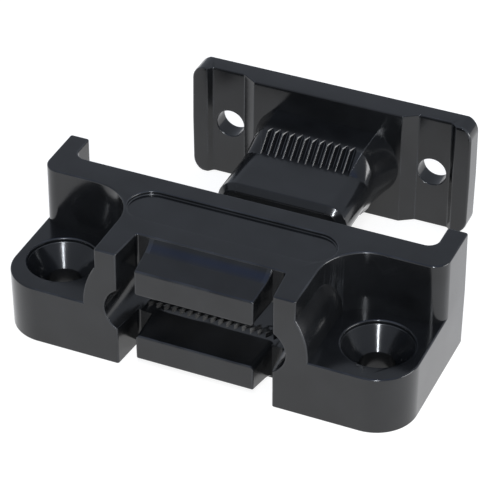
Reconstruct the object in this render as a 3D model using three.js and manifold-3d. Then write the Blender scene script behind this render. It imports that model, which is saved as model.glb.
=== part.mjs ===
// Two-part push-in catch, moulded in black plastic.
// A socket is screwed down, and a striker with a serrated tongue pushes into it from behind.
// Frame: X along the length, -Y towards the socket's front, +Z up, origin on the mounting
// face under the middle of the socket. Units are millimetres.
import * as THREE from 'three';
import { mergeVertices } from 'three/addons/utils/BufferGeometryUtils.js';
import { ConvexGeometry } from 'three/addons/geometries/ConvexGeometry.js';
import Module from 'manifold-3d';

// Socket, outer shape
const HEIGHT = 24.5;
const MID_HEIGHT = HEIGHT / 2;
const HALF_LENGTH = 39.8;
const FRONT_Y = -15.1;
const WALL_FRONT_Y = 4.2;
const WALL_BACK_Y = 10.1;
const EAR_BACK_Y = 16.6;
const EAR_WIDTH = 3.9;
const EAR_FILLET = 2.2;
const WALL_END_RADIUS = 3.2;
const FOOT_HEIGHT = 12;
const FOOT_CORNER_RADIUS = 8;

// Screw holes in the feet
const SCREW_X = 31.1;
const SCREW_Y = -4.8;
const SCREW_RADIUS = 3.3;
const SINK_RADIUS = 6.7;
const SINK_LIP_DEPTH = 0.9;
const SINK_CONE_DEPTH = 3.6;

// Centre block, its posts and the slits beside the jaws
const POST_OUTER_X = 19.45;
const POST_BULGE_X = 21.9;
const POST_BULGE_TOP = 20.4;
const POST_FILLET = 9;
const SLIT_FRONT_X = 15.15;
const SLIT_BACK_X = 14.5;
const SLIT_BACK_Y = -7.6;
const JAW_FRONT_X = 11.5;
const JAW_BACK_X = 11.9;
const JAW_ROOT_GAP = 0.3;
const JAW_MOUTH_HALF = 4.5;
const JAW_LIP_HALF = 9.75;
const JAW_LIP_BACK_HALF = 10.75;
const JAW_LIP_BACK_Y = -10.4;
const JAW_EDGE_RADIUS = 1;
const THUMB_RAMP_PULL_Y = 0.9;
const THUMB_RAMP_PULL_Z = 0.4;
const RECESS_HALF_LENGTH = 20.3;
const RECESS_HALF_WIDTH = 4.5;
const RECESS_Y = 1.4;
const RECESS_DEPTH = 0.7;

// Slot through the block for the tongue
const SLOT_HALF_WIDTH = 17.6;
const SLOT_HALF_HEIGHT = 4.9;
const SLOT_MOUTH_HALF_HEIGHT = 7.7;
const SLOT_RAMP_START_Y = -4.5;
const SLOT_RAMP_END_Y = 0.9;

// Serrations, the same pitch on the socket's ramps and on the tongue
const RIB_PITCH = 1.55;
const GROOVE_COUNT = 12;
const GROOVE_SHARE = 0.84;
const SOCKET_GROOVE_DEPTH = 0.7;
const TONGUE_GROOVE_DEPTH = 0.9;

// Striker, measured from the back face of its plate
const PLATE_HALF_LENGTH = 29.2;
const PLATE_CORNER_RADIUS = 2.8;
const RIM_THICKNESS = 4.9;
const RIM_INNER_X = 25.9;
const POCKET_THICKNESS = 3.9;
const POCKET_OUTER_X = 24.9;
const POCKET_INNER_X = 18.3;
const PAD_THICKNESS = 5.7;
const PAD_HALF_LENGTH = 15.5;
const PLATE_HOLE_X = 21.3;
const PLATE_HOLE_RADIUS = 2.9;
const BOSS_HALF_HEIGHT = 7.25;
const BOSS_FLAT_X = 10.3;
const BOSS_ROOT_HALF_WIDTH = 15.2;
const BOSS_FRONT_Y = -13.3;
const BLADE_HALF_WIDTH = 13.3;
const BLADE_HALF_HEIGHT = 4.1;
const BLADE_RAMP_END_Y = -17;
const TONGUE_TIP_Y = -29;
const TIP_CHAMFER = 1.2;

// The back of the striker's plate, with the striker drawn out behind the socket
const STRIKER_REST_Y = 53;

// Straight pieces in a quarter or half turn, the reach of a cutter past the face it opens,
// and the depth by which joined bodies run into each other
const SMOOTH = 12;
const OVERRUN = 1;
const OVERLAP = 0.5;

const wasm = await Module();
wasm.setup();

// --- Solids from three.js geometries -------------------------------------------------

function solidOf(geometry) {
  const bare = geometry.index ? geometry.toNonIndexed() : geometry;
  bare.deleteAttribute('normal');
  bare.deleteAttribute('uv');
  const merged = mergeVertices(bare, 1e-4);
  return new wasm.Manifold(new wasm.Mesh({
    numProp: 3,
    vertProperties: new Float32Array(merged.attributes.position.array),
    triVerts: new Uint32Array(merged.index.array),
  }));
}

function geometryOf(solid) {
  const mesh = solid.getMesh();
  const geometry = new THREE.BufferGeometry();
  geometry.setAttribute('position', new THREE.BufferAttribute(mesh.vertProperties, 3));
  geometry.setIndex(new THREE.BufferAttribute(mesh.triVerts, 1));
  geometry.computeVertexNormals();
  return geometry;
}

function extrude(shape, depth) {
  return new THREE.ExtrudeGeometry(shape, { depth, bevelEnabled: false, curveSegments: SMOOTH });
}

// An outline in X and Y, raised from bottom to top.
function upright(shape, bottom, top) {
  return solidOf(extrude(shape, top - bottom).translate(0, 0, bottom));
}

// An outline in X and Z, carried along Y.
function alongY(shape, fromY, toY) {
  return solidOf(extrude(shape, toY - fromY).rotateX(Math.PI / 2).translate(0, toY, 0));
}

// An outline in Y and Z, carried along X.
function alongX(shape, fromX, toX) {
  const turn = new THREE.Matrix4().set(0, 0, 1, fromX, 1, 0, 0, 0, 0, 1, 0, 0, 0, 0, 0, 1);
  return solidOf(extrude(shape, toX - fromX).applyMatrix4(turn));
}

function polygon(points) {
  return new THREE.Shape(points.map(([a, b]) => new THREE.Vector2(a, b)));
}

// A body through convex outlines in X and Z, each at its own Y.
function throughOutlines(stations) {
  const rings = stations.map(([outline, y]) => outline.map((p) => new THREE.Vector3(p.x, y, p.y)));
  return rings.slice(1)
    .map((ring, i) => solidOf(new ConvexGeometry([...rings[i], ...ring])))
    .reduce((all, length) => all.add(length));
}

// An obround about the mid height, as points in X and Z.
function obround(halfWidth, halfHeight) {
  const shape = new THREE.Shape();
  const straight = halfWidth - halfHeight;
  shape.absarc(straight, MID_HEIGHT, halfHeight, -Math.PI / 2, Math.PI / 2, false);
  shape.absarc(-straight, MID_HEIGHT, halfHeight, Math.PI / 2, Math.PI * 1.5, false);
  return shape.getPoints(SMOOTH);
}

// Turned upside down about the mid height.
function mirroredInZ(solid) {
  return solid.mirror([0, 0, 1]).translate([0, 0, HEIGHT]);
}

function mirroredInX(solid) {
  return solid.mirror([1, 0, 0]);
}

// --- Socket --------------------------------------------------------------------------

function footSolid() {
  const r = FOOT_CORNER_RADIUS;
  const shape = new THREE.Shape();
  shape.moveTo(SLIT_FRONT_X, FRONT_Y);
  shape.lineTo(HALF_LENGTH - r, FRONT_Y);
  shape.absarc(HALF_LENGTH - r, FRONT_Y + r, r, -Math.PI / 2, 0, false);
  shape.lineTo(HALF_LENGTH, WALL_FRONT_Y + WALL_END_RADIUS + OVERLAP);
  shape.lineTo(SLIT_FRONT_X, WALL_FRONT_Y + WALL_END_RADIUS + OVERLAP);
  return upright(shape, 0, FOOT_HEIGHT);
}

// The right half of the plan of everything that stands at full height.
function fullHeightSolid() {
  const f = POST_FILLET;
  const e = WALL_END_RADIUS;
  const i = EAR_FILLET;
  const earInner = HALF_LENGTH - EAR_WIDTH;
  const shape = new THREE.Shape();
  shape.moveTo(0, SLIT_BACK_Y);
  shape.lineTo(SLIT_BACK_X, SLIT_BACK_Y);
  shape.lineTo(SLIT_FRONT_X, FRONT_Y);
  shape.lineTo(POST_OUTER_X, FRONT_Y);
  shape.absarc(POST_OUTER_X + f, WALL_FRONT_Y - f, f, Math.PI, Math.PI / 2, true);
  shape.absarc(HALF_LENGTH - e, WALL_FRONT_Y + e, e, -Math.PI / 2, 0, false);
  shape.lineTo(HALF_LENGTH, EAR_BACK_Y);
  shape.lineTo(earInner, EAR_BACK_Y);
  shape.absarc(earInner - i, WALL_BACK_Y + i, i, 0, -Math.PI / 2, true);
  shape.lineTo(0, WALL_BACK_Y);
  return upright(shape, 0, HEIGHT);
}

// The outward swell of a post over the round end of the slot.
function postBulgeSolid() {
  const rise = POST_BULGE_TOP - MID_HEIGHT;
  const swell = POST_BULGE_X - POST_OUTER_X;
  const radius = (rise * rise + swell * swell) / (2 * swell);
  const halfAngle = Math.asin(rise / radius);
  const shape = new THREE.Shape();
  shape.moveTo(SLOT_HALF_WIDTH, MID_HEIGHT - rise);
  shape.lineTo(POST_OUTER_X, MID_HEIGHT - rise);
  shape.absarc(POST_BULGE_X - radius, MID_HEIGHT, radius, -halfAngle, halfAngle, false);
  shape.lineTo(SLOT_HALF_WIDTH, MID_HEIGHT + rise);
  return alongY(shape, FRONT_Y, WALL_FRONT_Y + OVERLAP);
}

function screwHoleCut() {
  const coneEnd = FOOT_HEIGHT - SINK_LIP_DEPTH - SINK_CONE_DEPTH;
  const profile = [
    [0, -OVERRUN],
    [SCREW_RADIUS, -OVERRUN],
    [SCREW_RADIUS, coneEnd],
    [SINK_RADIUS, FOOT_HEIGHT - SINK_LIP_DEPTH],
    [SINK_RADIUS, FOOT_HEIGHT + OVERRUN],
    [0, FOOT_HEIGHT + OVERRUN],
  ].map(([r, z]) => new THREE.Vector2(r, z));
  const lathe = new THREE.LatheGeometry(profile, 4 * SMOOTH).rotateX(Math.PI / 2);
  return solidOf(lathe).translate([SCREW_X, SCREW_Y, 0]);
}

function slotCut() {
  const narrow = obround(SLOT_HALF_WIDTH, SLOT_HALF_HEIGHT);
  const wide = obround(SLOT_HALF_WIDTH, SLOT_MOUTH_HALF_HEIGHT);
  return throughOutlines([
    [narrow, FRONT_Y - OVERRUN],
    [narrow, SLOT_RAMP_START_Y],
    [wide, SLOT_RAMP_END_Y],
    [wide, WALL_BACK_Y + OVERRUN],
  ]);
}

// V-grooves down a ramp that faces up: from its top edge to its foot, each a [y, z] pair.
// They run out into the surface above the ramp and stop at the level of its foot.
function rampGrooves(top, foot, depth, count) {
  const topEdge = new THREE.Vector2(...top);
  const footEdge = new THREE.Vector2(...foot);
  const slope = footEdge.clone().sub(topEdge);
  const upwards = Math.sign(slope.x) / slope.length();
  const normal = new THREE.Vector2(-slope.y, slope.x).multiplyScalar(depth * upwards);
  const from = topEdge.sub(slope);
  const to = footEdge.clone().add(slope);
  const halfWidth = RIB_PITCH * GROOVE_SHARE;
  const bars = Array.from({ length: count }, (_, i) => {
    const x = (i - (count - 1) / 2) * RIB_PITCH;
    const corners = [from, to].flatMap((end) => [
      new THREE.Vector3(x, end.x - normal.x, end.y - normal.y),
      new THREE.Vector3(x - halfWidth, end.x + normal.x, end.y + normal.y),
      new THREE.Vector3(x + halfWidth, end.x + normal.x, end.y + normal.y),
    ]);
    return solidOf(new ConvexGeometry(corners));
  }).reduce((all, bar) => all.add(bar));
  const above = new THREE.BoxGeometry(2 * HALF_LENGTH, 2 * HALF_LENGTH, HEIGHT);
  return bars.intersect(solidOf(above.translate(0, footEdge.x, footEdge.y + HEIGHT / 2)));
}

function recessCut() {
  const end = RECESS_HALF_LENGTH - RECESS_HALF_WIDTH;
  const shape = new THREE.Shape();
  shape.absarc(end, RECESS_Y, RECESS_HALF_WIDTH, -Math.PI / 2, Math.PI / 2, false);
  shape.absarc(-end, RECESS_Y, RECESS_HALF_WIDTH, Math.PI / 2, Math.PI * 1.5, false);
  return upright(shape, HEIGHT - RECESS_DEPTH, HEIGHT + OVERRUN);
}

function socketSolid() {
  const half = footSolid()
    .add(fullHeightSolid())
    .add(postBulgeSolid())
    .subtract(screwHoleCut());
  const grooves = rampGrooves(
    [SLOT_RAMP_START_Y, MID_HEIGHT - SLOT_HALF_HEIGHT],
    [SLOT_RAMP_END_Y, MID_HEIGHT - SLOT_MOUTH_HALF_HEIGHT],
    SOCKET_GROOVE_DEPTH,
    GROOVE_COUNT,
  );
  return half
    .add(mirroredInX(half))
    .subtract(slotCut())
    .subtract(recessCut())
    .subtract(grooves)
    .subtract(mirroredInZ(grooves));
}

// The upper jaw: a lip at the front of the block, with a thumb ramp down from the top.
function jawSolid() {
  const back = SLIT_BACK_Y - JAW_ROOT_GAP;
  const r = JAW_EDGE_RADIUS;
  const side = new THREE.Shape();
  side.moveTo(back, MID_HEIGHT + JAW_MOUTH_HALF);
  side.lineTo(back, HEIGHT);
  side.quadraticCurveTo(back - THUMB_RAMP_PULL_Y, MID_HEIGHT + JAW_LIP_BACK_HALF + THUMB_RAMP_PULL_Z,
    JAW_LIP_BACK_Y, MID_HEIGHT + JAW_LIP_BACK_HALF);
  side.lineTo(FRONT_Y, MID_HEIGHT + JAW_LIP_HALF);
  side.lineTo(FRONT_Y, MID_HEIGHT + JAW_MOUTH_HALF);
  const plan = polygon([
    [-JAW_FRONT_X, FRONT_Y - OVERRUN],
    [JAW_FRONT_X, FRONT_Y - OVERRUN],
    [JAW_BACK_X, back + OVERRUN],
    [-JAW_BACK_X, back + OVERRUN],
  ]);
  const front = new THREE.Shape();
  front.moveTo(JAW_BACK_X, HEIGHT + OVERRUN);
  front.lineTo(-JAW_BACK_X, HEIGHT + OVERRUN);
  front.absarc(-JAW_FRONT_X + r, MID_HEIGHT + JAW_MOUTH_HALF + r, r, Math.PI, Math.PI * 1.5, false);
  front.absarc(JAW_FRONT_X - r, MID_HEIGHT + JAW_MOUTH_HALF + r, r, -Math.PI / 2, 0, false);
  return alongX(side, -JAW_BACK_X - OVERRUN, JAW_BACK_X + OVERRUN)
    .intersect(upright(plan, 0, HEIGHT + OVERRUN))
    .intersect(alongY(front, FRONT_Y - OVERRUN, back + OVERRUN));
}

// --- Striker -------------------------------------------------------------------------

function plateSolid() {
  const halfPlan = [
    [PLATE_HALF_LENGTH, 0],
    [PLATE_HALF_LENGTH, -RIM_THICKNESS],
    [RIM_INNER_X, -RIM_THICKNESS],
    [POCKET_OUTER_X, -POCKET_THICKNESS],
    [POCKET_INNER_X, -POCKET_THICKNESS],
    [PAD_HALF_LENGTH, -PAD_THICKNESS],
  ];
  const otherHalf = halfPlan.map(([x, y]) => [-x, y]).reverse();
  const plan = polygon([...halfPlan, ...otherHalf].reverse());
  const r = PLATE_CORNER_RADIUS;
  const x = PLATE_HALF_LENGTH - r;
  const face = new THREE.Shape();
  face.absarc(x, r, r, -Math.PI / 2, 0, false);
  face.absarc(x, HEIGHT - r, r, 0, Math.PI / 2, false);
  face.absarc(-x, HEIGHT - r, r, Math.PI / 2, Math.PI, false);
  face.absarc(-x, r, r, Math.PI, Math.PI * 1.5, false);
  return upright(plan, 0, HEIGHT).intersect(alongY(face, -PAD_THICKNESS - OVERRUN, OVERRUN));
}

function plateHoleCut(x) {
  const bar = new THREE.CylinderGeometry(PLATE_HOLE_RADIUS, PLATE_HOLE_RADIUS, HEIGHT, 4 * SMOOTH);
  return solidOf(bar.translate(x, 0, MID_HEIGHT));
}

// The outline of the boss: flat above and below, with bowed sides that meet the flats
// at an edge.
function bossOutline(halfWidth) {
  const swell = halfWidth - BOSS_FLAT_X;
  const radius = (BOSS_HALF_HEIGHT ** 2 + swell ** 2) / (2 * swell);
  const halfAngle = Math.atan2(BOSS_HALF_HEIGHT, radius - swell);
  const centre = halfWidth - radius;
  const shape = new THREE.Shape();
  shape.absarc(centre, MID_HEIGHT, radius, -halfAngle, halfAngle, false);
  shape.absarc(-centre, MID_HEIGHT, radius, Math.PI - halfAngle, Math.PI + halfAngle, false);
  return shape.getPoints(SMOOTH);
}

function tongueSolid() {
  const root = bossOutline(BOSS_ROOT_HALF_WIDTH);
  const front = bossOutline(BLADE_HALF_WIDTH);
  const blade = obround(BLADE_HALF_WIDTH, BLADE_HALF_HEIGHT);
  const tip = obround(BLADE_HALF_WIDTH - TIP_CHAMFER, BLADE_HALF_HEIGHT - TIP_CHAMFER);
  const chamferY = TONGUE_TIP_Y + TIP_CHAMFER;
  return throughOutlines([
    [root, -PAD_THICKNESS + OVERLAP],
    [front, BOSS_FRONT_Y],
    [blade, BLADE_RAMP_END_Y],
    [blade, chamferY],
    [tip, TONGUE_TIP_Y],
  ]);
}

function strikerSolid() {
  const grooves = rampGrooves(
    [BOSS_FRONT_Y, MID_HEIGHT + BOSS_HALF_HEIGHT],
    [BLADE_RAMP_END_Y, MID_HEIGHT + BLADE_HALF_HEIGHT],
    TONGUE_GROOVE_DEPTH,
    GROOVE_COUNT,
  );
  return plateSolid()
    .subtract(plateHoleCut(PLATE_HOLE_X))
    .subtract(plateHoleCut(-PLATE_HOLE_X))
    .add(tongueSolid())
    .subtract(grooves)
    .subtract(mirroredInZ(grooves));
}

// --- Assembly ------------------------------------------------------------------------

function blackPlastic() {
  return new THREE.MeshStandardMaterial({ color: 0x1b1d20, roughness: 0.3, metalness: 0 });
}

function part(name, solid) {
  const mesh = new THREE.Mesh(geometryOf(solid), blackPlastic());
  mesh.name = name;
  return mesh;
}

const upperJaw = jawSolid();
const striker = part('striker', strikerSolid());
striker.position.y = STRIKER_REST_Y;

const catchAssembly = new THREE.Group();
catchAssembly.add(part('socket_base', socketSolid()));
catchAssembly.add(part('upper_jaw', upperJaw));
catchAssembly.add(part('lower_jaw', mirroredInZ(upperJaw)));
catchAssembly.add(striker);

export default catchAssembly;
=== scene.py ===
from math import radians

import bmesh
import bpy
import numpy as np
from mathutils import Matrix, Vector


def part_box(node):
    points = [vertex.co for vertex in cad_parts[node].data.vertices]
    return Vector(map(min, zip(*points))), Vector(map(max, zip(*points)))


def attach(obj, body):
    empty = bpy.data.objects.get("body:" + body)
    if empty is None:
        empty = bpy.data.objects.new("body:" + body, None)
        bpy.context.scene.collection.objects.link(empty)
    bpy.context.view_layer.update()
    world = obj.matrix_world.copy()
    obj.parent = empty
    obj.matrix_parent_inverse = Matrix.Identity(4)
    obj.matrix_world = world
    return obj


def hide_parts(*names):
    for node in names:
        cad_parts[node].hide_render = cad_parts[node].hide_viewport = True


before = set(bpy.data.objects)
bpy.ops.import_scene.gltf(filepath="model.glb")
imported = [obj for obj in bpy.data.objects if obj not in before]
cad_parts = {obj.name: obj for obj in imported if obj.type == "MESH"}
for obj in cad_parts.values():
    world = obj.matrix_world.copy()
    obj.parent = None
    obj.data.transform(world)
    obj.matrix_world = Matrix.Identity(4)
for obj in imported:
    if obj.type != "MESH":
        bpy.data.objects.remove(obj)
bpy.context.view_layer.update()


# Camera: a long lens, above and to the right of the socket's front.
eye = bpy.data.cameras.new("camera")
eye.sensor_width = 36
eye.lens = 185.1
camera = bpy.data.objects.new("camera", eye)
camera.location = (0.14643, -0.32759, 0.28069)
camera.rotation_euler = (radians(90 - 35.762), 0, radians(23.734))
bpy.context.scene.collection.objects.link(camera)
bpy.context.scene.camera = camera


# Floor: a plain white sheet that the catch lies on.
mm = 0.001
floor_half_width = 1.6
floor_drop = 0.05 * mm
floor_corners = floor_half_width * np.array([(-1, -1, 0), (1, -1, 0), (1, 1, 0), (-1, 1, 0)])
floor_mesh = bpy.data.meshes.new("floor")
floor_mesh.from_pydata((floor_corners - (0, 0, floor_drop)).tolist(), [], [(0, 1, 2, 3)])
floor = bpy.data.objects.new("floor", floor_mesh)
bpy.context.scene.collection.objects.link(floor)
paper = bpy.data.materials.new("white_paper")
paper.use_nodes = True
paper_shader = paper.node_tree.nodes["Principled BSDF"]
paper_shader.inputs["Base Color"].default_value = (0.4, 0.385, 0.36, 1)
paper_shader.inputs["Roughness"].default_value = 0.8
paper_shader.inputs["Specular IOR Level"].default_value = 0
paper_shader.inputs["Emission Color"].default_value = (1, 1, 1, 1)
paper_shader.inputs["Emission Strength"].default_value = 0.8
floor.data.materials.append(paper)


# Studio: a dim grey room with a cool soft ceiling, one softbox low on the right, and one
# narrow strip light beside the camera.
room = bpy.data.worlds.new("room")
bpy.context.scene.world = room
room.use_nodes = True
room_nodes, room_links = room.node_tree.nodes, room.node_tree.links
direction = room_nodes.new("ShaderNodeTexCoord")
upward = room_nodes.new("ShaderNodeSeparateXYZ")
walls_to_ceiling = room_nodes.new("ShaderNodeValToRGB")
wall_end, ceiling_start = walls_to_ceiling.color_ramp.elements
wall_end.position, wall_end.color = 0.85, (0.42, 0.455, 0.52, 1)
ceiling_start.position, ceiling_start.color = 0.95, (0.31, 0.42, 0.8, 1)
room_links.new(direction.outputs["Generated"], upward.inputs["Vector"])
room_links.new(upward.outputs["Z"], walls_to_ceiling.inputs["Fac"])
room_links.new(walls_to_ceiling.outputs["Color"], room_nodes["Background"].inputs["Color"])


def softbox(name, place, width, height, watts, colour):
    """A rectangular soft light at place, turned towards the catch."""
    light = bpy.data.lights.new(name, "AREA")
    light.shape = "RECTANGLE"
    light.size = width
    light.size_y = height
    light.energy = watts
    light.color = colour
    lamp = bpy.data.objects.new(name, light)
    lamp.location = place
    lamp.rotation_euler = (-Vector(place)).to_track_quat("-Z", "Y").to_euler()
    bpy.context.scene.collection.objects.link(lamp)


softbox("right_softbox", (0.8, 0.1, 0.16), 0.5, 0.3, 4, (1, 1, 1))
softbox("strip_light", (0.26, -0.62, 0.52), 0.03, 0.5, 5, (0.9, 0.94, 1))
bpy.context.scene.view_settings.view_transform = "Standard"


# Socket: the screw-down half of the catch, one moulding in glossy black plastic.
# A block with two posts stands in the middle, a wall with two ears stands behind it, and a
# low foot with a countersunk screw hole lies on each side.
socket_low, socket_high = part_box("socket_base")
half_length = socket_high.x
front = socket_low.y
ear_back = socket_high.y
height = socket_high.z
middle = height / 2
foot_height = 12 * mm
wall_front = 4.2 * mm
wall_back = 10.1 * mm
ear_width = 3.9 * mm
post_side = 19.45 * mm
post_fillet = 9 * mm
slit_outer_front = 15.15 * mm
slit_outer_back = 14.5 * mm
slit_back = -7.6 * mm
edge_radius = 0.3 * mm
corner_radius = 0.45 * mm
draft = 0.1 * mm


def arc_at(corner, before, after, radius, steps):
    """The points of the round that replaces a corner between its two neighbours: it touches
    both sides at radius / tan(half the corner's angle) from the corner."""
    back = (before - corner) / np.linalg.norm(before - corner)
    ahead = (after - corner) / np.linalg.norm(after - corner)
    half = np.arccos(np.clip(back @ ahead, -1, 1)) / 2
    if radius == 0 or half > 1.57:
        return corner[None]
    centre = corner + (back + ahead) / np.linalg.norm(back + ahead) * radius / np.sin(half)
    start = corner + back * radius / np.tan(half) - centre
    end = corner + ahead * radius / np.tan(half) - centre
    sweep = np.arctan2(start[0] * end[1] - start[1] * end[0], start @ end)
    turn = np.linspace(0, sweep, steps)[:, None]
    across = np.array([-start[1], start[0]])
    return centre + start * np.cos(turn) + across * np.sin(turn)


def rounded(corners):
    """A closed outline from corners (a, b, radius, steps), each replaced by its round."""
    place = np.array([c[:2] for c in corners])
    return np.concatenate([
        arc_at(place[i], place[i - 1], place[(i + 1) % len(place)], *corners[i][2:])
        for i in range(len(place))])


def inset(outline, depth):
    """The outline moved inwards by depth: each point slides along the mean of its two side
    normals, lengthened so that both sides move by depth. Counter-clockwise outlines."""
    side = np.roll(outline, -1, 0) - outline
    normal = np.stack([side[:, 1], -side[:, 0]], 1) / np.linalg.norm(side, axis=1)[:, None]
    last = np.roll(normal, 1, 0)
    return outline - depth * (normal + last) / (1 + (normal * last).sum(1))[:, None]


def quarter(steps):
    """Sine and one-minus-cosine of a quarter turn, as the climb and inset of a round edge."""
    turn = np.linspace(0, np.pi / 2, steps)
    return np.sin(turn), 1 - np.cos(turn)


def levels(bottom, top, bottom_radius, top_radius, steps=5):
    """Pairs of height and inset for a wall with a round edge at each end: first the lower edge,
    then as many pairs for the upper one. A negative radius flares the edge outwards, as a
    cutter does to round the lip of its hole."""
    climb, draw = quarter(steps)
    low = [(bottom + abs(bottom_radius) * (1 - c), bottom_radius * d) for c, d in zip(climb, draw)]
    high = [(top - abs(top_radius) * (1 - c), top_radius * d) for c, d in zip(climb, draw)]
    return low[::-1] + high


# Where an outline's first and second values and the place along the axis go in (x, y, z).
AXES = {"x": (2, 0, 1), "y": (0, 2, 1), "z": (0, 1, 2)}


def loft(name, rings):
    """A closed body through rings of points: quads between rings, one face on each end."""
    count, size = rings.shape[:2]
    corner = np.arange(count * size).reshape(count, size)
    here, above = corner[:-1], corner[1:]
    quads = np.stack([here, np.roll(here, -1, 1), np.roll(above, -1, 1), above], -1)
    ends = [corner[0, ::-1].tolist(), corner[-1].tolist()]
    mesh = bpy.data.meshes.new(name)
    mesh.from_pydata(rings.reshape(-1, 3).tolist(), [], quads.reshape(-1, 4).tolist() + ends)
    body = bpy.data.objects.new(name, mesh)
    bpy.context.scene.collection.objects.link(body)
    clean(body)
    return body


def clean(body):
    """Merges doubled points, cuts many-sided faces into triangles, removes faces too thin to
    see and turns all outwards."""
    work = bmesh.new()
    work.from_mesh(body.data)
    bmesh.ops.remove_doubles(work, verts=work.verts, dist=1e-7)
    bmesh.ops.dissolve_degenerate(work, edges=work.edges, dist=1e-7)
    bmesh.ops.triangulate(work, faces=[face for face in work.faces if len(face.verts) > 4])
    bmesh.ops.dissolve_degenerate(work, edges=work.edges, dist=2e-6)
    bmesh.ops.recalc_face_normals(work, faces=work.faces)
    work.to_mesh(body.data)
    work.free()


def prism(name, outline, stations, axis):
    """An outline carried along an axis. Each station is a place on the axis and the depth by
    which the outline is drawn in there."""
    drawn = np.stack([inset(outline, depth) for _, depth in stations])
    along = np.array([place for place, _ in stations])[:, None, None]
    flat = np.concatenate([drawn, np.broadcast_to(along, drawn.shape[:2] + (1,))], 2)
    return loft(name, flat[..., AXES[axis]])


def combined(body, tool, operation):
    """The body joined with or cut by a tool, which is used up."""
    step = body.modifiers.new("step", "BOOLEAN")
    step.operation = operation
    step.solver = "MANIFOLD"
    step.object = tool
    graph = bpy.context.evaluated_depsgraph_get()
    body.data = bpy.data.meshes.new_from_object(body.evaluated_get(graph))
    body.modifiers.clear()
    bpy.data.objects.remove(tool)
    return body


def mirrored(outline):
    """The outline on the other side of the middle plane, still counter-clockwise."""
    return (outline * (-1, 1))[::-1]


right_plan = [
    (slit_outer_back, slit_back, 0.5 * mm, 5),
    (slit_outer_front, front, corner_radius, 6),
    (post_side, front, corner_radius, 6),
    (post_side, wall_front, post_fillet, 28),
    (half_length, wall_front, 3.2 * mm, 16),
    (half_length, ear_back, corner_radius, 6),
    (half_length - ear_width, ear_back, corner_radius, 6),
    (half_length - ear_width, wall_back, 2.2 * mm, 12),
]
left_plan = [(-a, b, r, n) for a, b, r, n in reversed(right_plan)]
plan = rounded(right_plan + left_plan)
low_edge = 0.2 * mm
wall_levels = levels(0, foot_height, low_edge, 0)[:5] + [(foot_height, 0)]
wall_levels += levels(foot_height, height, 0, edge_radius)[5:]
socket = prism("socket_base_moulding", plan, wall_levels, "z")

foot_inner = 17 * mm
foot_corner = 8 * mm
foot_back = wall_front + 3.4 * mm
foot_plan = rounded([
    (foot_inner, front, 0, 1),
    (half_length, front, foot_corner, 28),
    (half_length, foot_back, 0, 1),
    (foot_inner, foot_back, 0, 1),
])
for outline in (foot_plan, mirrored(foot_plan)):
    foot = prism("foot", outline, levels(0, foot_height, low_edge, edge_radius), "z")
    combined(socket, foot, "UNION")

# Each post swells outwards round the end of the slot, from a third of its height to the top.
bulge_reach = 21.9 * mm
bulge_rise = 8.15 * mm
swell = bulge_reach - post_side
bulge_radius = (bulge_rise ** 2 + swell ** 2) / (2 * swell)
bulge_turn = np.arcsin(bulge_rise / bulge_radius)
bulge_angles = np.linspace(-bulge_turn, bulge_turn, 33)
bulge_outline = np.concatenate([
    [[foot_inner, middle - bulge_rise]],
    np.stack([bulge_reach - bulge_radius + bulge_radius * np.cos(bulge_angles),
              middle + bulge_radius * np.sin(bulge_angles)], 1),
    [[foot_inner, middle + bulge_rise]],
])
for outline in (bulge_outline, mirrored(bulge_outline)):
    bulge = prism("bulge", outline, levels(front, wall_front + mm, edge_radius, 0), "y")
    combined(socket, bulge, "UNION")

# The slot for the tongue goes right through, with round ends. Its mouth widens up and down
# towards the back, and both ramps are serrated.
slot_half_width = 17.6 * mm
slot_half_height = 4.9 * mm
mouth_half_height = 7.7 * mm
ramp_start = -4.5 * mm
ramp_end = 0.9 * mm
overrun = 1 * mm


def obround(half_width, half_height, steps=24, centre=(0, middle)):
    """Two half circles joined by straight sides."""
    turn = np.linspace(-np.pi / 2, np.pi / 2, steps)
    straight = half_width - half_height
    end = np.stack([straight + half_height * np.cos(turn), half_height * np.sin(turn)], 1)
    return np.concatenate([end, -end]) + centre


def stack(name, outlines, places, axis):
    """A body through different outlines with equal numbers of points, one at each place."""
    along = np.broadcast_to(np.array(places)[:, None, None], (len(places), len(outlines[0]), 1))
    return loft(name, np.concatenate([np.stack(outlines), along], 2)[..., AXES[axis]])


narrow = obround(slot_half_width, slot_half_height)
wide = obround(slot_half_width, mouth_half_height)
lip = levels(front, front + overrun, -edge_radius, 0)[:5]
slot_tool = stack(
    "slot",
    [inset(narrow, -edge_radius)] + [inset(narrow, depth) for _, depth in lip]
    + [narrow, wide, wide, inset(wide, -edge_radius), inset(wide, -edge_radius)],
    [front - overrun] + [place for place, _ in lip]
    + [ramp_start, ramp_end, wall_back - edge_radius, wall_back, wall_back + overrun],
    "y")
combined(socket, slot_tool, "DIFFERENCE")

rib_pitch = 1.55 * mm
groove_share = 0.84


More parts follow.
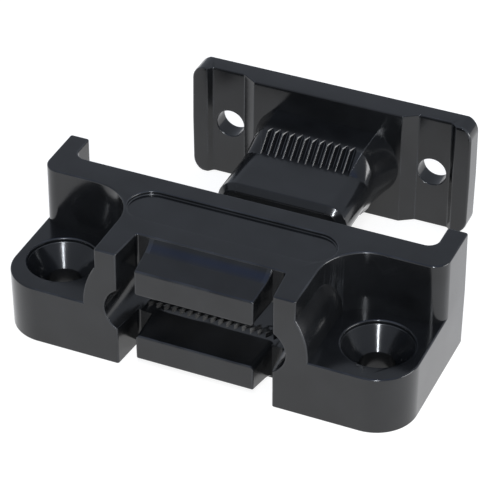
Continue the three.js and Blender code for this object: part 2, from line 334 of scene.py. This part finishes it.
def ramp_grooves(top, foot, depth, count):
    """V-shaped bars side by side along a ramp, whose top edge and foot are (y, z) places: each
    bar's section is a V with a rounded root and shoulders, carried along the ramp's line."""
    top, foot = np.array(top), np.array(foot)
    along = (foot - top) / np.linalg.norm(foot - top)
    normal = np.array([-along[1], along[0]]) * np.sign(along[0])
    half = rib_pitch * groove_share / 2
    shoulder = 0.06 * mm
    run_out = 5 * mm
    section = np.array([
        (-half - shoulder, depth), (-half - shoulder, 0), (-half + shoulder, -shoulder * 1.6),
        (-shoulder, -depth + shoulder), (shoulder, -depth + shoulder),
        (half - shoulder, -shoulder * 1.6), (half + shoulder, 0), (half + shoulder, depth)])
    bars = []
    for place in (np.arange(count) - (count - 1) / 2) * rib_pitch:
        ends = np.stack([top - along * run_out, foot + along * run_out])
        line = ends[:, None] + section[None, :, 1:] * normal
        across = np.broadcast_to(section[None, :, :1] + place, (2, len(section), 1))
        bars.append(loft("bar", np.concatenate([across, line], 2)))
    work = bmesh.new()
    for bar in bars:
        work.from_mesh(bar.data)
        bpy.data.objects.remove(bar)
    bmesh.ops.bisect_plane(work, geom=work.verts[:] + work.edges[:] + work.faces[:],
                           plane_co=(0, 0, foot[1]), plane_no=(0, 0, 1), clear_inner=True)
    bmesh.ops.holes_fill(work, edges=work.edges, sides=0)
    bmesh.ops.recalc_face_normals(work, faces=work.faces)
    mesh = bpy.data.meshes.new("grooves")
    work.to_mesh(mesh)
    work.free()
    tool = bpy.data.objects.new("grooves", mesh)
    bpy.context.scene.collection.objects.link(tool)
    return tool


def upside_down(body):
    """A copy of a body turned over about the middle height."""
    copy = body.copy()
    copy.data = body.data.copy()
    bpy.context.scene.collection.objects.link(copy)
    copy.data.transform(Matrix.Diagonal((1, 1, -1, 1)))
    copy.data.transform(Matrix.Translation((0, 0, 2 * middle)))
    clean(copy)
    return copy


slot_groove_depth = 0.7 * mm
slot_groove_count = 18
slot_grooves = ramp_grooves(
    (ramp_start, middle - slot_half_height), (ramp_end, middle - mouth_half_height),
    slot_groove_depth, slot_groove_count)
upper_grooves = upside_down(slot_grooves)
combined(socket, slot_grooves, "DIFFERENCE")
combined(socket, upper_grooves, "DIFFERENCE")

# A shallow oval recess lies along the top, and a countersunk screw hole goes through each foot.
recess_outline = obround(20.3 * mm, 4.5 * mm, 32, (0, 1.4 * mm))
recess_floor = height - 0.7 * mm
recess_bevel = 0.15 * mm
recess_lip = 0.22 * mm
recess_levels = [(recess_floor, recess_bevel), (recess_floor + recess_bevel, 0)]
recess_levels += levels(0, height, 0, -recess_lip)[5:] + [(height + overrun, -recess_lip)]
combined(socket, prism("recess", recess_outline, recess_levels, "z"), "DIFFERENCE")

screw_x = 31.1 * mm
screw_y = -4.8 * mm
sink_radius = 6.7 * mm
bore_radius = 3.3 * mm
sink_lip = 0.9 * mm
sink_depth = 4.5 * mm
sink_outline = obround(sink_radius, sink_radius - 1e-9, 48, (screw_x, screw_y))
step_in = sink_radius - bore_radius
sink_bevel = 0.1 * mm
sink_levels = [
    (-overrun, step_in - low_edge),
    (0, step_in - low_edge),
    (low_edge, step_in),
    (foot_height - sink_depth, step_in),
    (foot_height - sink_lip, sink_bevel),
    (foot_height - sink_lip + sink_bevel, 0),
]
sink_levels += levels(0, foot_height, 0, -edge_radius)[5:] + [(foot_height + overrun, -edge_radius)]
for outline in (sink_outline, mirrored(sink_outline)):
    combined(socket, prism("sink", outline, sink_levels, "z"), "DIFFERENCE")


def points_of(body):
    """The places of a body's points, one row each."""
    place = np.empty(len(body.data.vertices) * 3, np.float32)
    body.data.vertices.foreach_get("co", place)
    return place.reshape(-1, 3)


def move_points(body, place):
    """Puts a body's points at the given places."""
    body.data.vertices.foreach_set("co", place.ravel())
    body.data.update()


def relieved(body):
    """Draws a moulding in a little above and below its parting line, so that it leaves the
    mould: every point closes on the middle axis in proportion to its height off the line."""
    work = bmesh.new()
    work.from_mesh(body.data)
    bmesh.ops.bisect_plane(work, geom=work.verts[:] + work.edges[:] + work.faces[:], dist=1e-7,
                           plane_co=(0, 0, foot_height), plane_no=(0, 0, 1))
    work.to_mesh(body.data)
    work.free()
    place = points_of(body)
    away = np.abs(place[:, 2:] - foot_height) / foot_height
    place[:, :2] *= 1 - np.array([draft / half_length, draft / ear_back]) * away
    move_points(body, place)


edge_face_width = 0.16 * mm
edge_face_squareness = 0.985


def mark_rubbed_edges(mesh):
    """Gives each face a mark of 1 where it is part of a small round edge, and 0 elsewhere: it
    is narrow (area over half its outline) and faces none of the three main directions."""
    count = len(mesh.polygons)
    area = np.empty(count)
    mesh.polygons.foreach_get("area", area)
    normal = np.empty(count * 3)
    mesh.polygons.foreach_get("normal", normal)
    ends = np.empty(len(mesh.edges) * 2, int)
    mesh.edges.foreach_get("vertices", ends)
    place = np.empty(len(mesh.vertices) * 3)
    mesh.vertices.foreach_get("co", place)
    span = place.reshape(-1, 3)[ends.reshape(-1, 2)]
    length = np.linalg.norm(span[:, 0] - span[:, 1], axis=1)
    edge_of_corner = np.empty(len(mesh.loops), int)
    mesh.loops.foreach_get("edge_index", edge_of_corner)
    start = np.empty(count, int)
    mesh.polygons.foreach_get("loop_start", start)
    outline = np.add.reduceat(length[edge_of_corner], start)
    narrow = area / outline < edge_face_width / 2
    slanting = np.abs(normal.reshape(-1, 3)).max(1) < edge_face_squareness
    mark = mesh.attributes.new("rubbed_edge", "FLOAT", "FACE")
    mark.data.foreach_set("value", (narrow & slanting).astype(np.float32))


def finished(body, sharp_degrees=28):
    """Smooth shading that keeps flats flat: edges that turn more than the limit are sharp,
    and the other normals lean towards the larger faces."""
    clean(body)
    work = bmesh.new()
    work.from_mesh(body.data)
    for edge in work.edges:
        edge.smooth = edge.calc_face_angle(0) < radians(sharp_degrees)
    for face in work.faces:
        face.smooth = True
    work.to_mesh(body.data)
    work.free()
    mark_rubbed_edges(body.data)
    step = body.modifiers.new("even shading", "WEIGHTED_NORMAL")
    step.mode = "FACE_AREA"
    step.weight = 50
    step.keep_sharp = True


plastic_tint = (0.0062, 0.0066, 0.0072)
rubbed_tint = (0.03, 0.032, 0.035, 1)


def black_moulding(name, tint):
    """Glossy black plastic from a polished mould: nearly black, with a faint ripple from
    shrinkage, fine dust-like grain, and edges rubbed paler and duller in patches."""
    finish = bpy.data.materials.new(name)
    finish.use_nodes = True
    nodes, links = finish.node_tree.nodes, finish.node_tree.links
    shader = nodes["Principled BSDF"]
    shader.inputs["IOR"].default_value = 1.49
    where = nodes.new("ShaderNodeTexCoord")

    def noise(scale, detail):
        field = nodes.new("ShaderNodeTexNoise")
        field.inputs["Scale"].default_value = scale
        field.inputs["Detail"].default_value = detail
        links.new(where.outputs["Object"], field.inputs["Vector"])
        return field.outputs["Fac"]

    def ramp(source, stops):
        band = nodes.new("ShaderNodeValToRGB")
        band.color_ramp.elements[0].position = stops[0][0]
        band.color_ramp.elements[0].color = stops[0][1]
        band.color_ramp.elements[1].position = stops[1][0]
        band.color_ramp.elements[1].color = stops[1][1]
        links.new(source, band.inputs["Fac"])
        return band.outputs["Color"]

    dark = tuple(c * 0.75 for c in tint) + (1,)
    pale = tuple(c * 1.35 for c in tint) + (1,)
    body_colour = ramp(noise(160, 4), [(0.35, dark), (0.7, pale)])
    rubbed = nodes.new("ShaderNodeAttribute")
    rubbed.attribute_name = "rubbed_edge"
    patches = ramp(noise(150, 5), [(0.4, (0.12, 0.12, 0.12, 1)), (0.72, (0.85, 0.85, 0.85, 1))])
    rubbed_patches = nodes.new("ShaderNodeMath")
    rubbed_patches.operation = "MULTIPLY"
    links.new(rubbed.outputs["Fac"], rubbed_patches.inputs[0])
    links.new(patches, rubbed_patches.inputs[1])
    edge_colour = nodes.new("ShaderNodeMix")
    edge_colour.data_type = "RGBA"
    links.new(rubbed_patches.outputs["Value"], edge_colour.inputs["Factor"])
    links.new(body_colour, edge_colour.inputs["A"])
    edge_colour.inputs["B"].default_value = rubbed_tint
    links.new(edge_colour.outputs["Result"], shader.inputs["Base Color"])
    gloss = ramp(noise(90, 6), [(0.35, (0.12, 0.12, 0.12, 1)), (0.7, (0.21, 0.21, 0.21, 1))])
    edge_gloss = nodes.new("ShaderNodeMix")
    edge_gloss.data_type = "FLOAT"
    links.new(rubbed_patches.outputs["Value"], edge_gloss.inputs["Factor"])
    links.new(gloss, edge_gloss.inputs["A"])
    edge_gloss.inputs["B"].default_value = 0.3
    links.new(edge_gloss.outputs["Result"], shader.inputs["Roughness"])
    grain = nodes.new("ShaderNodeBump")
    grain.inputs["Strength"].default_value = 0.12
    grain.inputs["Distance"].default_value = 0.02 * mm
    links.new(noise(4200, 3), grain.inputs["Height"])
    ripple = nodes.new("ShaderNodeBump")
    ripple.inputs["Strength"].default_value = 0.35
    ripple.inputs["Distance"].default_value = 0.05 * mm
    links.new(noise(110, 1), ripple.inputs["Height"])
    links.new(ripple.outputs["Normal"], grain.inputs["Normal"])
    links.new(grain.outputs["Normal"], shader.inputs["Normal"])
    return finish


relieved(socket)
finished(socket)
socket.data.materials.clear()
socket.data.materials.append(black_moulding("socket_black", plastic_tint))
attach(socket, "socket")
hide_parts("socket_base")


# Jaws: the two lips that spring apart for the tongue. Each is moulded in one with the block
# and bends at its root; the upper one has a hollow thumb ramp down from the top.
jaw_half = 11.5 * mm
jaw_widening = 0.05
mouth_half = 4.5 * mm
jaw_root = slit_back + 0.9 * mm
jaw_corner = 1 * mm
ramp_top = height - edge_radius
ramp_foot = (-10.2 * mm, middle + 10.6 * mm)
lip_top = middle + 9.75 * mm
curve = np.linspace(0, 1, 12)[1:-1, None]
ramp_curve = ((1 - curve) ** 2 * (slit_back, ramp_top)
              + 2 * curve * (1 - curve) * (slit_back - 0.9 * mm, ramp_foot[1] + 0.4 * mm)
              + curve ** 2 * ramp_foot)
jaw_outline = rounded([
    (jaw_root, middle + mouth_half, 0, 1),
    (jaw_root, ramp_top - edge_radius, 0, 1),
    (slit_back, ramp_top, 0, 1),
    *[(y, z, 0, 1) for y, z in ramp_curve],
    (*ramp_foot, 0.4 * mm, 4),
    (front, lip_top, corner_radius, 6),
    (front, middle + mouth_half, corner_radius, 6),
])
corner_places = np.linspace(jaw_half - jaw_corner, jaw_half - edge_radius, 5)
right_stations = [(x, 0) for x in corner_places] + levels(0, jaw_half, 0, edge_radius)[6:]
jaw_stations = [(-x, depth) for x, depth in right_stations[::-1]] + right_stations
upper_jaw = prism("upper_jaw_lip", jaw_outline, jaw_stations, "x")


def shaped_jaw(body):
    """Widens the jaw slightly towards its root, and lifts the ends of its underside along a
    quarter circle: z is at least bottom + r - sqrt(r^2 - (x past the corner's centre)^2)."""
    place = points_of(body)
    past = np.clip(np.abs(place[:, 0]) - (jaw_half - jaw_corner), 0, jaw_corner)
    lift = jaw_corner - np.sqrt(np.clip(jaw_corner ** 2 - past ** 2, 0, None))
    place[:, 2] = np.maximum(place[:, 2], middle + mouth_half + lift)
    place[:, 0] *= 1 + jaw_widening * (place[:, 1] - front) / (jaw_root - front)
    move_points(body, place)


shaped_jaw(upper_jaw)
lower_jaw = upside_down(upper_jaw)
lower_jaw.name = "lower_jaw_lip"
jaw_black = black_moulding("jaw_black", plastic_tint)
for jaw, node in ((upper_jaw, "upper_jaw"), (lower_jaw, "lower_jaw")):
    relieved(jaw)
    finished(jaw)
    jaw.data.materials.append(jaw_black)
    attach(jaw, node + "_body")
    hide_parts(node)


# Striker: the loose half, moulded in the same plastic. A flat plate with a pocket round each
# screw hole carries a thick boss, which ramps down to the blade that the jaws grip.
striker_low, striker_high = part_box("striker")
plate_back = striker_high.y
tip = striker_low.y
plate_half = striker_high.x
rim = plate_back - 4.9 * mm
pocket = plate_back - 3.9 * mm
pad = plate_back - 5.7 * mm
plate_corner = 2.8 * mm
soft_corner = 0.6 * mm
rim_inner = 25.9 * mm
pocket_outer = 24.9 * mm
pocket_inner = 18.3 * mm
pad_half = 15.5 * mm
plate_corners = [
    (plate_half, rim, soft_corner, 6),
    (plate_half, plate_back, soft_corner, 6),
    (-plate_half, plate_back, soft_corner, 6),
    (-plate_half, rim, soft_corner, 6),
    (-rim_inner, rim, soft_corner, 6),
    (-pocket_outer, pocket, soft_corner, 5),
    (-pocket_inner, pocket, soft_corner, 5),
    (-pad_half, pad, soft_corner, 5),
    (pad_half, pad, soft_corner, 5),
    (pocket_inner, pocket, soft_corner, 5),
    (pocket_outer, pocket, soft_corner, 5),
    (rim_inner, rim, soft_corner, 6),
]

# The long edges get a small quarter round, and the faces a slight draft away from mid-height.
plate_draft = 0.12 * mm
climb = np.concatenate([np.linspace(0, 1, 9) ** 2 * plate_corner, [middle, height - middle]])
plate_heights = np.unique(np.concatenate([climb, height - climb]).round(7))
from_edge = np.minimum(plate_heights, height - plate_heights)
round_in = np.clip(edge_radius - from_edge, 0, edge_radius * (1 - 1e-9))
plate_insets = (edge_radius - np.sqrt(edge_radius ** 2 - round_in ** 2)
                + plate_draft * np.abs(plate_heights - middle) / middle)
striker = prism("striker_moulding", rounded(plate_corners), list(zip(plate_heights, plate_insets)), "z")

# The plate's corners are round seen from the front: near its top and bottom, what lies past
# the shoulder is drawn in by sqrt(r^2 - gap^2) / r, with the gap measured from the corner's centre.
place = points_of(striker)
edge_gap = np.clip(plate_corner - np.minimum(place[:, 2], height - place[:, 2]), 0, plate_corner)
reach = np.sqrt(np.clip(plate_corner ** 2 - edge_gap ** 2, 0, None)) / plate_corner
shoulder_x = plate_half - plate_corner
beyond = np.clip(np.abs(place[:, 0]) - shoulder_x, 0, None)
within = np.minimum(np.abs(place[:, 0]), shoulder_x)
place[:, 0] = np.sign(place[:, 0]) * (within + beyond * np.maximum(reach, 0.02))
move_points(striker, place)
clean(striker)

plate_hole_x = 21.3 * mm
plate_hole_radius = 2.9 * mm
hole_outline = obround(plate_hole_radius, plate_hole_radius - 1e-9, 40, (plate_hole_x, middle))
hole_lip = -0.25 * mm
hole_levels = [(pocket - overrun, hole_lip)] + levels(pocket, plate_back, hole_lip, hole_lip)
hole_levels += [(plate_back + overrun, hole_lip)]
for outline in (hole_outline, mirrored(hole_outline)):
    combined(striker, prism("screw hole", outline, hole_levels, "y"), "DIFFERENCE")

# Boss, serrated ramps, blade and chamfered tip, as one body along Y.
boss_half_height = 7.25 * mm
boss_flat = 10.3 * mm
boss_front = plate_back - 13.3 * mm
ramp_foot_y = plate_back - 17 * mm
blade_half_width = 13.3 * mm
blade_half_height = 4.1 * mm
tip_chamfer = 1.2 * mm


def bowed(half_width, half_height, flat, crease=0.35 * mm):
    """Flat above and below, with sides that bow out along an arc through the flats' ends."""
    bow = half_width - flat
    radius = (half_height ** 2 + bow ** 2) / (2 * bow)
    reach = np.arctan2(half_height, radius - bow)
    turn = np.linspace(-reach, reach, 15)
    side = np.stack([half_width - radius + radius * np.cos(turn), middle + radius * np.sin(turn)], 1)
    whole = np.concatenate([side, mirrored(side)])
    creases = {0, 14, 15, 29}
    return rounded([
        (a, b, crease, 4) if i in creases else (a, b, 0, 1) for i, (a, b) in enumerate(whole)])


blade_crease = 0.05 * mm
blade = bowed(
    blade_half_width, blade_half_height, blade_half_width - blade_half_height, blade_crease)
boss = bowed(blade_half_width, boss_half_height, boss_flat)
ramp_shares = np.linspace(0, 1, 8)[1:]
root_flare = np.linspace(0, 1, 7)
flare_reach = 1.9 * mm
tongue_root = pad + 0.3 * mm
flare_places = tongue_root + (boss_front - tongue_root) * root_flare
flare_outlines = [
    bowed(blade_half_width + flare_reach * (1 - share) ** 1.6, boss_half_height, boss_flat)
    for share in root_flare]
ramp_places = boss_front + (ramp_foot_y - boss_front) * ramp_shares
ramp_outlines = [boss + (blade - boss) * share for share in ramp_shares]
tip_places = tip + np.array([tip_chamfer + 0.15 * mm, tip_chamfer - 0.1 * mm, 0.1 * mm, 0])
tip_insets = [0, 0.08 * mm, tip_chamfer - 0.08 * mm, tip_chamfer + 0.25 * mm]
tip_outlines = [inset(blade, depth) for depth in tip_insets]
tongue = stack(
    "tongue",
    flare_outlines + ramp_outlines + tip_outlines,
    [*flare_places, *ramp_places, *tip_places], "y")
tongue_groove_depth = 0.9 * mm
tongue_groove_count = 12
tongue_grooves = ramp_grooves(
    (boss_front, middle + boss_half_height), (ramp_foot_y, middle + blade_half_height),
    tongue_groove_depth, tongue_groove_count)
lower_tongue_grooves = upside_down(tongue_grooves)
combined(tongue, tongue_grooves, "DIFFERENCE")
combined(tongue, lower_tongue_grooves, "DIFFERENCE")
combined(striker, tongue, "UNION")
finished(striker)
striker.data.materials.clear()
striker.data.materials.append(black_moulding("striker_black", plastic_tint))
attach(striker, "striker_body")
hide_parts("striker")
